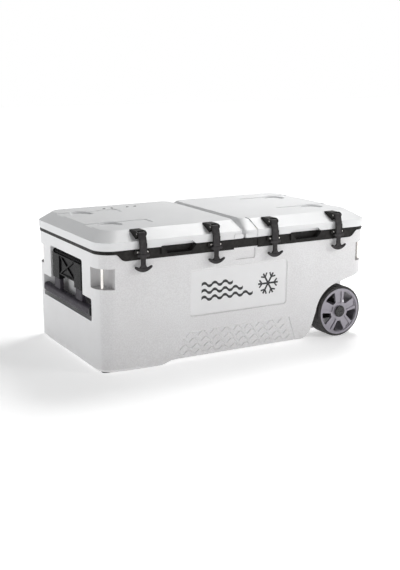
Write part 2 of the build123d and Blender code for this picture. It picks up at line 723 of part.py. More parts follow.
# ---------------------------------------------------------------- wheels
wheel_spokes = 5
window_inner = 34.0
window_outer = 69.0
window_corners = [
    (window_inner, -7),
    (window_outer - 5, -22),
    (window_outer, -16),
    (window_outer, 16),
    (window_outer - 5, 22),
    (window_inner, 7),
]
inset_corners = [(28, -9), (68, -9), (68, 9), (28, 9)]
bushing_radius = 9.0
hub_cap_radius = 20.0
hub_face_y = 240.0
for name, side in (("front", -1), ("rear", 1)):
    wheel_centre = (wheel_x, wheel_radius)

    with BuildPart() as tyre:
        with BuildSketch(Plane.XZ.offset(-side * tyre_inner_y)):
            with Locations(wheel_centre):
                Circle(wheel_radius)
        extrude(amount=-side * (tyre_outer_y - tyre_inner_y))
        fillet(tyre.edges().filter_by(GeomType.CIRCLE), 6)
        with BuildSketch(Plane.XZ.offset(-side * tyre_inner_y)):
            with Locations(wheel_centre):
                Circle(rim_radius)
        extrude(amount=-side * width, mode=Mode.SUBTRACT)
    tyre.part.label = f"{name}_tyre"
    export_step(tyre.part, f"parts/{name}_tyre.step")

    # Barrel, dished face with trapezoid windows between the spokes, and hub
    with BuildPart() as rim:
        with BuildSketch(Plane.XZ.offset(-side * tyre_inner_y)):
            with Locations(wheel_centre):
                Circle(rim_radius)
        extrude(amount=-side * (tyre_outer_y - tyre_inner_y + 1))
        with BuildSketch(Plane.XZ.offset(-side * tyre_inner_y)):
            with Locations(wheel_centre):
                Circle(rim_radius - 6)
                Circle(20, mode=Mode.SUBTRACT)
        extrude(amount=-side * (tyre_outer_y - tyre_inner_y - 10), mode=Mode.SUBTRACT)
        with BuildSketch(Plane.XZ.offset(-side * (tyre_outer_y - 2))):
            with Locations(wheel_centre):
                Circle(rim_radius - 7)
                Circle(21, mode=Mode.SUBTRACT)
        extrude(amount=-side * width, mode=Mode.SUBTRACT)
        # Windows, and a shallow inset panel along each spoke between two windows
        spoke_step = 360 / wheel_spokes
        with BuildSketch(Plane.XZ.offset(-side * tyre_inner_y)):
            for spoke in range(wheel_spokes):
                with Locations(Location(wheel_centre, -90 + spoke * spoke_step)):
                    Polygon(*window_corners, align=None)
        extrude(amount=-side * width, mode=Mode.SUBTRACT)
        with BuildSketch(Plane.XZ.offset(-side * (tyre_outer_y - 5))):
            for spoke in range(wheel_spokes):
                with Locations(Location(wheel_centre, -90 + (spoke + 0.5) * spoke_step)):
                    Polygon(*inset_corners, align=None)
        extrude(amount=-side * width, mode=Mode.SUBTRACT)
        with BuildSketch(Plane.XZ.offset(-side * tyre_inner_y)):
            with Locations(wheel_centre):
                Circle(bushing_radius)
        extrude(amount=-side * width, mode=Mode.SUBTRACT)
        with BuildSketch(Plane.XZ.offset(-side * hub_face_y)):
            with Locations(wheel_centre):
                Circle(hub_cap_radius - 3)
        extrude(amount=-side * width, mode=Mode.SUBTRACT)
    rim.part.label = f"{name}_rim"
    export_step(rim.part, f"parts/{name}_rim.step")

    with BuildPart() as bushing:
        with BuildSketch(Plane.XZ.offset(-side * tyre_inner_y)):
            with Locations(wheel_centre):
                Circle(bushing_radius)
                Circle(axle_radius + running_gap, mode=Mode.SUBTRACT)
        extrude(amount=-side * (hub_face_y - tyre_inner_y))
    bushing.part.label = f"{name}_wheel_bushing"
    export_step(bushing.part, f"parts/{name}_wheel_bushing.step")

    # Domed cap over the end of the axle, pressed into the hub
    with BuildPart() as hub_cap:
        with BuildSketch(Plane.XZ.offset(-side * hub_face_y)):
            with Locations(wheel_centre):
                Circle(hub_cap_radius - 3)
                Circle(hub_cap_radius - 5, mode=Mode.SUBTRACT)
        extrude(amount=-side * (tyre_outer_y + 1 - hub_face_y))
        with BuildSketch(Plane.XZ.offset(-side * (tyre_outer_y + 1))):
            with Locations(wheel_centre):
                Circle(hub_cap_radius)
        extrude(amount=-side * 4.5)
        outer_rim = hub_cap.faces().sort_by(Axis.Y)[0 if side < 0 else -1].edges()
        fillet(outer_rim, 3.5)
    hub_cap.part.label = f"{name}_hub_cap"
    export_step(hub_cap.part, f"parts/{name}_hub_cap.step")

with BuildPart() as axle_washers:
    washer_y = notch_inner_y + axle_flange_thickness
    for side in (-1, 1):
        with BuildSketch(Plane.XZ.offset(-side * washer_y)):
            with Locations((wheel_x, wheel_radius)):
                Circle(12)
                Circle(axle_radius, mode=Mode.SUBTRACT)
        extrude(amount=-side * (tyre_inner_y - washer_y - 0.5))
axle_washers.part.label = "axle_washers"
export_step(axle_washers.part, "parts/axle_washers.step")

with BuildPart() as axle_push_nuts:
    for side in (-1, 1):
        with BuildSketch(Plane.XZ.offset(-side * (hub_face_y + 0.8))):
            with Locations((wheel_x, wheel_radius)):
                Circle(11)
                Circle(axle_radius, mode=Mode.SUBTRACT)
        extrude(amount=-side * 3)
axle_push_nuts.part.label = "axle_push_nuts"
export_step(axle_push_nuts.part, "parts/axle_push_nuts.step")

# ---------------------------------------------------------------- rear hinges
hinge_y, hinge_z = hinge_place
bracket_half_length = lid_knuckle_half + knuckle_gap + body_knuckle_length
slot_half = lid_knuckle_half + knuckle_gap
rod_end = hinge_centres[1] + bracket_half_length + 2
rod_start = hinge_centres[0] - bracket_half_length - 2

with BuildPart() as hinge_rods:
    for side in (-1, 1):
        with BuildSketch(Plane.YZ.offset(side * rod_start)):
            with Locations(hinge_place):
                Circle(hinge_rod_radius)
        extrude(amount=side * (rod_end - rod_start))
hinge_rods.part.label = "hinge_rods"
export_step(hinge_rods.part, "parts/hinge_rods.step")

# Brackets stand clear of the trim bead and carry the two outer knuckles of each hinge.
with BuildPart() as hinge_brackets:
    for centre in [side * place for side in (-1, 1) for place in hinge_centres]:
        with BuildSketch(Plane.YZ.offset(centre)):
            with Locations(hinge_place):
                Circle(knuckle_radius)
            with BuildLine():
                Polyline(
                    (tub_top_half[1], 344),
                    (bracket_foot_y, 344),
                    (bracket_foot_y, 366),
                    (hinge_y + 7, hinge_z - 4),
                    hinge_place,
                    (hinge_y - 7.5, hinge_z - 3),
                    (band_face_y - 0.5, lid_bottom_z),
                    (band_face_y - 0.5, 366),
                    (tub_top_half[1], 366),
                    close=True,
                )
            make_face()
        extrude(amount=bracket_half_length, both=True)
        with BuildSketch(Plane.YZ.offset(centre)):
            with Locations((hinge_y, trim_top_z + 20)):
                Rectangle(60, 40)
        extrude(amount=slot_half, both=True, mode=Mode.SUBTRACT)
    add(hinge_rods.part, mode=Mode.SUBTRACT)
    add(hinge_screws.part, mode=Mode.SUBTRACT)
hinge_brackets.part.label = "hinge_brackets"
export_step(hinge_brackets.part, "parts/hinge_brackets.step")


# ---------------------------------------------------------------- lids
def lid_outline(side, height, end_x, split_x, front_y, rear_y, end_radius, split_radius):
    """Plan outline of one lid at a height, with large corners at its outer end."""
    with BuildSketch(Plane.XY.offset(height)) as outline:
        with Locations((side * (end_x + split_x) / 2, (front_y + rear_y) / 2)):
            Rectangle(end_x - split_x, rear_y - front_y)
        fillet(outline.vertices().group_by(Axis.X)[0 if side < 0 else -1], end_radius)
        fillet(outline.vertices().group_by(Axis.X)[-1 if side < 0 else 0], split_radius)
    return outline.sketch


def lid_envelope(side, inset):
    """Outside of one lid moved inward by inset: an upright band, a sloping shoulder and a flat top."""
    half = width / 2 - inset
    sizes = (
        length / 2 - inset,
        split_half + inset,
        -half,
        half,
        end_corner + 2 - inset,
        split_corner - inset,
    )
    top_inset = inset / 2
    top_split_x = left_lid_top_split_x if side < 0 else right_lid_top_split_x
    top_sizes = (
        lid_top_end_x - top_inset,
        top_split_x + top_inset,
        lid_top_front_y + top_inset,
        lid_top_rear_y - top_inset,
        end_corner - 12 - top_inset,
        split_corner_top - top_inset,
    )
    with BuildPart() as envelope:
        extrude(lid_outline(side, lid_bottom_z, *sizes), amount=lid_band_z - lid_bottom_z)
        loft(
            [lid_outline(side, lid_band_z, *sizes), lid_outline(side, lid_top_z - inset, *top_sizes)],
            ruled=True,
        )
        # Finger lift at the front edge, narrowing upwards
        with BuildSketch(Plane.XZ.offset(-lift_back_y - inset)):
            with BuildLine():
                Polyline(
                    (side * lift_x - lift_half_open - 2 - inset, lid_bottom_z - 1),
                    (side * lift_x - lift_half_top - inset, lift_top_z + inset),
                    (side * lift_x + lift_half_top + inset, lift_top_z + inset),
                    (side * lift_x + lift_half_open + 2 + inset, lid_bottom_z - 1),
                    close=True,
                )
            make_face()
        extrude(amount=width, mode=Mode.SUBTRACT)
        with BuildSketch(Plane.XY.offset(lid_top_z - dish_depth - inset)):
            with Locations(*[(side * dish_x, y) for y in dish_places_y]):
                Circle(dish_radius + inset)
        extrude(amount=length, mode=Mode.SUBTRACT)
    return envelope.part


liner_plate = 4.0
plug_bottom_z = 366.0
plug_gap = 5.0
plug_wall = 3.0
gasket_gap = 0.4
gasket_offsets = (4.0, 11.0)
shoulder_rise = lid_top_z - lid_band_z
shoulder_run = lid_top_front_y + width / 2
mount_rear_y = -219.0
mount_front_y = -262.0


def shoulder_z(y):
    """Height of the front shoulder's outer face at y."""
    return lid_band_z + (y + width / 2) * shoulder_rise / shoulder_run


def mouth_outline(side, height, growth):
    """Outline of one compartment's mouth at a height, grown outward."""
    with BuildSketch(Plane.XY.offset(height)) as outline:
        with Locations((side * (mouth_half[0] + crossbar_half) / 2, 0)):
            RectangleRounded(
                mouth_half[0] - crossbar_half + 2 * growth,
                2 * (mouth_half[1] + growth),
                mouth_corner + growth,
            )
    return outline.sketch


with BuildPart() as lid_plugs:
    with BuildSketch(Plane.XY.offset(lid_top_z - 3)):
        with Locations(*[(x, plug_y) for x in plug_places_x]):
            Circle(plug_radius)
    extrude(amount=3.8)
    fillet(lid_plugs.edges().group_by(Axis.Z)[-1], 0.7)
lid_plugs.part.label = "lid_plugs"
export_step(lid_plugs.part, "parts/lid_plugs.step")

for name, side in (("left", -1), ("right", 1)):
    lid_outside = lid_envelope(side, 0)
    lid_inside = lid_envelope(side, lid_wall)
    lid_latches = [x for x in latch_places if x * side > 0]

    with BuildPart() as lid_shell:
        add(lid_outside)
        add(lid_inside, mode=Mode.SUBTRACT)
        # Strap channels from the dishes out over the end
        for dish_y in dish_places_y:
            with BuildSketch(Plane.XY.offset(lid_top_z - channel_depth)):
                with Locations((side * (length / 2 + 248) / 2, dish_y)):
                    RectangleRounded(length / 2 - 248, 2 * channel_half, 5)
            extrude(amount=20, mode=Mode.SUBTRACT)
        # Pad low on the front next to the split
        with BuildSketch(Plane.XZ.offset(width / 2 - 1)):
            with Locations((side * 21, 387)):
                RectangleRounded(33, 13, 4)
        extrude(amount=3)
        if side > 0:
            with BuildSketch(Plane.YZ.offset(44)):
                with BuildLine():
                    Polyline(
                        (-width, lid_bottom_z + 3),
                        (-width, length),
                        (lid_top_front_y + 20, length),
                        (lid_top_front_y + 20, lid_top_z - 2.5),
                        (lid_top_front_y + 1, lid_top_z - 2.5),
                        (-width / 2 + 2.5, lid_band_z - 1.5),
                        (-width / 2 + 2.5, lid_bottom_z + 3),
                        close=True,
                    )
                make_face()
            extrude(amount=7, mode=Mode.SUBTRACT)
        else:
            add(lid_plugs.part, mode=Mode.SUBTRACT)
    lid_shell.part.label = f"{name}_lid_shell"
    export_step(lid_shell.part, f"parts/{name}_lid_shell.step")

    pan_floor_z = plug_bottom_z + plug_wall
    plate_top_z = lid_bottom_z + liner_plate
    with BuildPart() as pan_inside:
        extrude(mouth_outline(side, pan_floor_z, -plug_gap - plug_wall), amount=plate_top_z - pan_floor_z)

    with BuildPart() as lid_foam:
        add(lid_inside)
        below_plate = lid_outline(side, lid_bottom_z - 1, length, 0, -width, width, 5, 5)
        extrude(below_plate, amount=liner_plate + 1, mode=Mode.SUBTRACT)
        add(pan_inside.part)
    lid_foam.part.label = f"{name}_lid_foam"
    export_step(lid_foam.part, f"parts/{name}_lid_foam.step")

    with BuildPart() as lid_liner:
        add(lid_inside)
        add(lid_foam.part, mode=Mode.SUBTRACT)
        extrude(mouth_outline(side, plug_bottom_z, -plug_gap), amount=lid_bottom_z - plug_bottom_z)
        add(pan_inside.part, mode=Mode.SUBTRACT)
    lid_liner.part.label = f"{name}_lid_liner"
    export_step(lid_liner.part, f"parts/{name}_lid_liner.step")

    with BuildPart() as lid_gasket:
        gasket_z = trim_top_z + gasket_gap
        gasket_height = lid_bottom_z - gasket_z
        extrude(mouth_outline(side, gasket_z, gasket_offsets[1]), amount=gasket_height)
        extrude(mouth_outline(side, gasket_z, gasket_offsets[0]), amount=gasket_height, mode=Mode.SUBTRACT)
    lid_gasket.part.label = f"{name}_lid_gasket"
    export_step(lid_gasket.part, f"parts/{name}_lid_gasket.step")

    with BuildPart() as hinge_leaves:
        for centre in hinge_centres:
            with BuildSketch(Plane.YZ.offset(side * centre)):
                with Locations(hinge_place):
                    Circle(knuckle_radius)
                with BuildLine():
                    Polyline(
                        (width / 2, lid_bottom_z + 3.5),
                        (hinge_y, hinge_z - knuckle_radius),
                        (hinge_y, hinge_z + knuckle_radius),
                        (width / 2 + 3, lid_band_z - 1),
                        (width / 2, lid_band_z - 1),
                        close=True,
                    )
                make_face()
                with Locations(hinge_place):
                    Circle(hinge_rod_radius + running_gap, mode=Mode.SUBTRACT)
            extrude(amount=lid_knuckle_half, both=True)
    hinge_leaves.part.label = f"{name}_lid_hinge_leaves"
    export_step(hinge_leaves.part, f"parts/{name}_lid_hinge_leaves.step")

    # Latch mounts: wedges on the shoulder with a fork at the front that holds the latch pin
    with BuildPart() as latch_pins:
        for latch_x in lid_latches:
            with BuildSketch(Plane.YZ.offset(latch_x)):
                with Locations(latch_pivot):
                    Circle(latch_pin_radius)
            extrude(amount=mount_half, both=True)
    latch_pins.part.label = f"{name}_latch_pins"
    export_step(latch_pins.part, f"parts/{name}_latch_pins.step")

    pivot_y, pivot_z = latch_pivot
    with BuildPart() as latch_mounts:
        for latch_x in lid_latches:
            with BuildSketch(Plane.YZ.offset(latch_x)):
                with BuildLine():
                    Polyline(
                        (mount_rear_y, shoulder_z(mount_rear_y)),
                        (mount_rear_y - 3, lid_top_z + 1.8),
                        (pivot_y + 4, lid_top_z + 2.2),
                        (pivot_y - 3, pivot_z + 5.2),
                        (pivot_y - 6, pivot_z),
                        (pivot_y - 3, pivot_z - 5.5),
                        (pivot_y + 4, pivot_z - 13),
                        (mount_front_y, shoulder_z(mount_front_y)),
                        close=True,
                    )
                make_face()
            extrude(amount=mount_half, both=True)
            with BuildSketch(Plane.YZ.offset(latch_x)):
                with Locations((pivot_y - 20, pivot_z)):
                    Rectangle(57, 60)
            extrude(amount=latch_strap_half + 0.5, both=True, mode=Mode.SUBTRACT)
        add(latch_pins.part, mode=Mode.SUBTRACT)
    latch_mounts.part.label = f"{name}_latch_mounts"
    export_step(latch_mounts.part, f"parts/{name}_latch_mounts.step")

# ---------------------------------------------------------------- latches
strap_face_y = -284.3
strap_back_y = -277.6
for number, latch_x in enumerate(latch_places, start=1):
    with BuildPart() as latch:
        with BuildSketch(Plane.YZ.offset(latch_x)):
            with Locations(latch_pivot):
                Circle(5.8)
            with BuildLine():
                Polyline(
                    (pivot_y - 5.8, pivot_z),
                    (pivot_y - 8.5, pivot_z - 13),
                    (strap_face_y + 3, pivot_z - 29),
                    (strap_face_y, pivot_z - 41),
                    (strap_face_y, 320),
                    (strap_back_y, 320),
                    (strap_back_y, pivot_z - 44),
                    (strap_back_y + 2.6, pivot_z - 32),
                    (pivot_y - 2.5, pivot_z - 17),
                    (pivot_y + 2, pivot_z - 5.4),
                    close=True,
                )
            make_face()
        extrude(amount=latch_strap_half, both=True)
        # Cross rib that seats under the keeper pin
        with BuildSketch(Plane.XZ.offset(-strap_back_y)):
            with Locations((latch_x, keeper_z - 9.5)):
                RectangleRounded(2 * (keeper_lug[0] - 0.5), 9, 3)
        extrude(amount=strap_back_y - strap_face_y + 1)
        # Crescent grip bar
        with BuildSketch(Plane.XZ.offset(-strap_back_y)):
            with BuildLine():
                under = ThreePointArc((latch_x - 30, 327), (latch_x, 311), (latch_x + 30, 327))
                right_tip = Line(under @ 1, (latch_x + 26, 331))
                over = ThreePointArc(right_tip @ 1, (latch_x, 322), (latch_x - 26, 331))
                Line(over @ 1, under @ 0)
            make_face()
        extrude(amount=10.4)
        with BuildSketch(Plane.YZ.offset(latch_x)):
            with Locations(latch_pivot):
                Circle(latch_pin_radius + running_gap)
        extrude(amount=width, both=True, mode=Mode.SUBTRACT)
    latch.part.label = f"latch_{number}"
    export_step(latch.part, f"parts/latch_{number}.step")

# ---------------------------------------------------------------- tow handle
pivot_x, pivot_height = handle_pivot
arm_x = (-491.5, -477.5)
arm_sink = 15.0
arm_top_z = 263.0
with BuildPart() as handle_arms:
    with BuildSketch(Plane.XY.offset(grip_z[1] - arm_sink)):
        with Locations(*[(sum(arm_x) / 2, side * arm_centre_y) for side in (-1, 1)]):
            RectangleRounded(arm_x[1] - arm_x[0], 2 * arm_half, 4)
    extrude(amount=arm_top_z - grip_z[1] + arm_sink)
handle_arms.part.label = "handle_arms"
export_step(handle_arms.part, "parts/handle_arms.step")

with BuildPart() as handle_yoke:
    with BuildSketch(Plane.XZ):
        with Locations(handle_pivot):
            Circle(barrel_radius)
    extrude(amount=yoke_half, both=True)
    # Centre plate with crossed ribs
    with BuildSketch(Plane.YZ.offset(yoke_front_x + 5)):
        with Locations((0, (yoke_bottom_z + pivot_height) / 2)):
            Rectangle(2 * sleeve_inner_y, pivot_height - yoke_bottom_z)
    extrude(amount=6)
    with BuildSketch(Plane.YZ.offset(yoke_front_x + 1)):
        rib_centre = (0, (yoke_bottom_z + pivot_height) / 2)
        for tilt in (-27, 27):
            with Locations(Location(rib_centre, tilt)):
                Rectangle(112, 4)
        for edge_z in (yoke_bottom_z + 2, pivot_height - 2):
            with Locations((0, edge_z)):
                Rectangle(2 * sleeve_inner_y, 4)
    extrude(amount=4)
    # Sleeves that grip the arms
    with BuildSketch(Plane.XY.offset(sleeve_bottom_z)):
        sleeve_centre_y = (sleeve_inner_y + yoke_half) / 2
        with Locations(*[((yoke_front_x + yoke_back_x + 2) / 2, side * sleeve_centre_y) for side in (-1, 1)]):
            RectangleRounded(yoke_back_x + 2 - yoke_front_x, yoke_half - sleeve_inner_y, 3)
    extrude(amount=pivot_height - sleeve_bottom_z)
    add(handle_arms.part, mode=Mode.SUBTRACT)
    with BuildSketch(Plane.XZ):
        with Locations(handle_pivot):
            Circle(handle_pin_radius + running_gap)
    extrude(amount=width, both=True, mode=Mode.SUBTRACT)
handle_yoke.part.label = "handle_yoke"
export_step(handle_yoke.part, "parts/handle_yoke.step")

grip_centre = (sum(grip_x) / 2, sum(grip_z) / 2)
grip_section = (grip_x[1] - grip_x[0], grip_z[1] - grip_z[0], 11)
with BuildPart() as handle_grip:
    with BuildSketch(Plane.XZ):
        with Locations(grip_centre):
            RectangleRounded(*grip_section)
    extrude(amount=grip_half, both=True)
    # Finger scallops along the top between the arms
    with BuildSketch(Plane.YZ.offset(grip_x[0] - 5)):
        with Locations(*[(22 * (finger - 1.5), grip_z[1] + 9) for finger in range(4)]):
            Circle(12)
    extrude(amount=40, mode=Mode.SUBTRACT)
    add(handle_arms.part, mode=Mode.SUBTRACT)
handle_grip.part.label = "handle_grip"
export_step(handle_grip.part, "parts/handle_grip.step")

with BuildPart() as grip_end_caps:
    for side in (-1, 1):
        with BuildSketch(Plane.XZ.offset(-side * grip_half)):
            with Locations(grip_centre):
                RectangleRounded(*grip_section)
        extrude(amount=-side * grip_cap)
grip_end_caps.part.label = "grip_end_caps"
export_step(grip_end_caps.part, "parts/grip_end_caps.step")

# ---------------------------------------------------------------- drain cap and its gasket
cap_gap = 0.35
with BuildPart() as drain_gasket:
    with BuildSketch(Plane.YZ.offset(drain_face_x + cap_gap)):
        with Locations((0, drain_z)):
            Circle(20)
            Circle(drain_tube_radius + 1, mode=Mode.SUBTRACT)
    extrude(amount=2)
drain_gasket.part.label = "drain_gasket"
export_step(drain_gasket.part, "parts/drain_gasket.step")

cap_start_x = drain_face_x + 2 + 2 * cap_gap
with BuildPart() as drain_cap:
    with BuildSketch(Plane.YZ.offset(cap_start_x)):
        with Locations((0, drain_z)):
            Circle(21)
    extrude(amount=20)
    with BuildSketch(Plane.YZ.offset(cap_start_x)):
        with Locations((0, drain_z)):
            Circle(drain_tube_radius + 0.4)
    extrude(amount=drain_tube_end_x - cap_start_x + 1, mode=Mode.SUBTRACT)
    # Wing to turn it by
    with BuildSketch(Plane.YZ.offset(cap_start_x + 20)):
        with Locations((0, drain_z)):
            SlotOverall(38, 8, rotation=90)
    extrude(amount=8)
drain_cap.part.label = "drain_cap"
export_step(drain_cap.part, "parts/drain_cap.step")
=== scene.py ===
import json
import math

import bmesh
import bpy
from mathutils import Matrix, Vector


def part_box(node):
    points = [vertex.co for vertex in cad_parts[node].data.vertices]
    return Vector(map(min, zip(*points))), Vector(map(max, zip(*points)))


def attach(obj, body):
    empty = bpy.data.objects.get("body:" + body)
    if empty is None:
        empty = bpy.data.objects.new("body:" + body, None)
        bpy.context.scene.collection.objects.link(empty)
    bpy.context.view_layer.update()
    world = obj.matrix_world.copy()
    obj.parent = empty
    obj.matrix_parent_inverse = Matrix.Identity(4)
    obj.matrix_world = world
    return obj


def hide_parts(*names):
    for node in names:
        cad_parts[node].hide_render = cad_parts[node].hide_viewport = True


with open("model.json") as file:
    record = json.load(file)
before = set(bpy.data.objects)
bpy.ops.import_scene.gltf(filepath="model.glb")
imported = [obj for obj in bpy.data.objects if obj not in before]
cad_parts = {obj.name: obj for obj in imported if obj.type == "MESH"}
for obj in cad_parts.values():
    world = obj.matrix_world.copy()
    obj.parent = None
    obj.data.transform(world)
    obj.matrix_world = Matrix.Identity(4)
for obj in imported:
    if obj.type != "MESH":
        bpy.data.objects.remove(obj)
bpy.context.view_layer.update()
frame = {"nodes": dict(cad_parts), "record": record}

NODES = frame["nodes"]
SCENE = bpy.context.scene


# ---------------------------------------------------------------- camera, floor and light
def add_camera():
    data = bpy.data.cameras.new("camera")
    data.sensor_width = 36.0
    data.lens = 60.3
    data.shift_x = 0.064
    data.shift_y = -0.070
    data.clip_end = 60
    camera = bpy.data.objects.new("camera", data)
    camera.location = (-1.604, -2.759, 0.943)
    camera.rotation_euler = (math.radians(90 - 11.23), 0, -math.radians(27.86))
    SCENE.collection.objects.link(camera)
    SCENE.camera = camera


def add_area(name, location, target, size, power, colour=(1, 1, 1)):
    data = bpy.data.lights.new(name, "AREA")
    data.shape = "RECTANGLE"
    data.size, data.size_y = size
    data.energy = power
    data.color = colour
    light = bpy.data.objects.new(name, data)
    light.location = location
    direction = Vector(target) - Vector(location)
    light.rotation_euler = direction.to_track_quat("-Z", "Y").to_euler()
    SCENE.collection.objects.link(light)


def add_light():
    """White studio: bright towards the horizon, dimmer overhead, with a key from the front right."""
    SCENE.view_settings.view_transform = "Standard"
    world = bpy.data.worlds.new("studio")
    SCENE.world = world
    world.use_nodes = True
    tree = world.node_tree
    where = tree.nodes.new("ShaderNodeTexCoord")
    split = tree.nodes.new("ShaderNodeSeparateXYZ")
    fade = tree.nodes.new("ShaderNodeMapRange")
    for key, number in (("From Min", 0.06), ("From Max", 0.15), ("To Min", 1.0), ("To Max", 0.20)):
        fade.inputs[key].default_value = number
    tree.links.new(where.outputs["Generated"], split.inputs[0])
    tree.links.new(split.outputs["Z"], fade.inputs["Value"])
    tree.links.new(fade.outputs["Result"], tree.nodes["Background"].inputs["Strength"])
    tree.nodes["Background"].inputs["Color"].default_value = (1.0, 1.0, 1.0, 1)
    add_area("key", (1.50, -1.9, 1.35), (0.45, -0.1, 0.2), (0.8, 0.8), 15, (1.0, 0.998, 0.995))
    add_area("left_fill", (-2.7, -0.1, 0.75), (-0.4, 0, 0.2), (0.9, 0.7), 7, (0.96, 0.985, 1.0))
    add_area("top_soft", (1.1, 0.7, 2.3), (0.3, 0, 0.4), (1.0, 1.0), 44)


def add_floor():
    """Pale floor that glows more with distance, so that it runs into the white horizon."""
    mesh = bpy.data.meshes.new("floor")
    half = 14.0
    corners = [(-half, -half, 0), (half, -half, 0), (half, half, 0), (-half, half, 0)]
    mesh.from_pydata(corners, [], [(0, 1, 2, 3)])
    floor = bpy.data.objects.new("floor", mesh)
    SCENE.collection.objects.link(floor)
    paint = surface("floor_paint", (0.90, 0.90, 0.90), mottle=0.01, mottle_scale=3, rough=(0.75, 0.85),
                    grain=(300, 0.00005, 0.2))
    tree = paint.node_tree
    glow = tree.nodes["Principled BSDF"]
    glow.inputs["Emission Color"].default_value = (1, 1, 1, 1)
    place = tree.nodes.new("ShaderNodeTexCoord")
    reach = tree.nodes.new("ShaderNodeVectorMath")
    reach.operation = "LENGTH"
    fade = tree.nodes.new("ShaderNodeMapRange")
    fade.interpolation_type = "SMOOTHSTEP"
    for key, number in (("From Min", 0.60), ("From Max", 1.8), ("To Min", 0.42), ("To Max", 1.0)):
        fade.inputs[key].default_value = number
    tree.links.new(place.outputs["Object"], reach.inputs[0])
    tree.links.new(reach.outputs["Value"], fade.inputs["Value"])
    tree.links.new(fade.outputs["Result"], glow.inputs["Emission Strength"])
    floor.data.materials.append(paint)


# ---------------------------------------------------------------- materials
class Nodes:
    """A material's node tree with short calls for the nodes used here."""

    def __init__(self, name):
        self.material = bpy.data.materials.new(name)
        self.material.use_nodes = True
        self.tree = self.material.node_tree
        self.shader = self.tree.nodes["Principled BSDF"]
        self.where = self.add("ShaderNodeTexCoord").outputs["Object"]

    def add(self, kind, **settings):
        node = self.tree.nodes.new(kind)
        for key, value in settings.items():
            setattr(node, key, value)
        return node

    def link(self, source, target):
        if isinstance(source, (int, float)):
            target.default_value = source
        elif isinstance(source, tuple):
            target.default_value = (*source, 1)[:4]
        else:
            self.tree.links.new(source, target)

    def math(self, operation, a, b=0.0, clamp=False):
        node = self.add("ShaderNodeMath", operation=operation, use_clamp=clamp)
        self.link(a, node.inputs[0])
        self.link(b, node.inputs[1])
        return node.outputs[0]

    def stretch(self, scale):
        node = self.add("ShaderNodeMapping")
        self.link(self.where, node.inputs["Vector"])
        node.inputs["Scale"].default_value = scale
        return node.outputs["Vector"]

    def noise(self, scale, detail=3.0, roughness=0.5, vector=None, distortion=0.0):
        node = self.add("ShaderNodeTexNoise")
        self.link(vector or self.where, node.inputs["Vector"])
        node.inputs["Scale"].default_value = scale
        node.inputs["Detail"].default_value = detail
        node.inputs["Roughness"].default_value = roughness
        node.inputs["Distortion"].default_value = distortion
        return node.outputs[0]

    def cells(self, scale, feature="F1", randomness=1.0, vector=None):
        node = self.add("ShaderNodeTexVoronoi", feature=feature)
        self.link(vector or self.where, node.inputs["Vector"])
        node.inputs["Scale"].default_value = scale
        node.inputs["Randomness"].default_value = randomness
        return node.outputs["Distance"]

    def remap(self, value, low, high, out_low=0.0, out_high=1.0, smooth=False):
        node = self.add("ShaderNodeMapRange", clamp=True)
        if smooth:
            node.interpolation_type = "SMOOTHSTEP"
        self.link(value, node.inputs["Value"])
        for key, number in (("From Min", low), ("From Max", high), ("To Min", out_low), ("To Max", out_high)):
            self.link(number, node.inputs[key])
        return node.outputs["Result"]

    def mix(self, factor, a, b):
        node = self.add("ShaderNodeMix", data_type="RGBA")
        self.link(factor, node.inputs["Factor"])
        self.link(a, node.inputs[6])
        self.link(b, node.inputs[7])
        return node.outputs[2]

    def axes(self):
        node = self.add("ShaderNodeSeparateXYZ")
        self.link(self.where, node.inputs[0])
        return node.outputs

    def bump(self, height, distance, strength, below=None):
        node = self.add("ShaderNodeBump")
        self.link(height, node.inputs["Height"])
        node.inputs["Distance"].default_value = distance
        self.link(strength, node.inputs["Strength"])
        if below is not None:
            self.link(below, node.inputs["Normal"])
        return node.outputs["Normal"]

    def inside(self, value, low, high, soft):
        """1 between low and high, falling to 0 over soft on each side."""
        rise = self.remap(value, low - soft, low, smooth=True)
        fall = self.remap(value, high, high + soft, 1.0, 0.0, smooth=True)
        return self.math("MULTIPLY", rise, fall)


def shade(colour, amount):
    return tuple(min(1.0, max(0.0, c * amount)) for c in colour)


def surface(name, colour, mottle=0.05, mottle_scale=9, rough=(0.4, 0.5), grain=(700, 0.0002, 0.4),
            metal=0.0, coat=0.0, speck=0.0, dust=0.0, dust_colour=(0.55, 0.53, 0.50), fibre=None, shine=0.5):
    """Moulded or machined surface: soft colour variation, fine grain, uneven gloss and settled dust."""
    n = Nodes(name)
    cloud = n.noise(mottle_scale, 4, 0.6)
    tint = n.mix(n.remap(cloud, 0.3, 0.7), shade(colour, 1 - mottle), shade(colour, 1 + mottle))
    if speck:
        fleck = n.remap(n.noise(grain[0] * 0.8, 2), 0.60, 0.72)
        tint = n.mix(n.math("MULTIPLY", fleck, speck), tint, shade(colour, 0.6))
    if dust:
        settled = n.remap(n.noise(mottle_scale * 2.3, 5, 0.65), 0.45, 0.75)
        tint = n.mix(n.math("MULTIPLY", settled, dust), tint, dust_colour)
    n.link(tint, n.shader.inputs["Base Color"])
    wear = n.noise(mottle_scale * 3.1, 5, 0.6)
    n.link(n.remap(wear, 0.3, 0.7, rough[0], rough[1]), n.shader.inputs["Roughness"])
    n.shader.inputs["Metallic"].default_value = metal
    n.shader.inputs["Coat Weight"].default_value = coat
    n.shader.inputs["Specular IOR Level"].default_value = shine
    fine = n.noise(grain[0], 2, 0.5) if fibre is None else n.noise(1.0, 3, 0.6, n.stretch(fibre))
    n.link(n.bump(fine, grain[1], grain[2]), n.shader.inputs["Normal"])
    return n.material


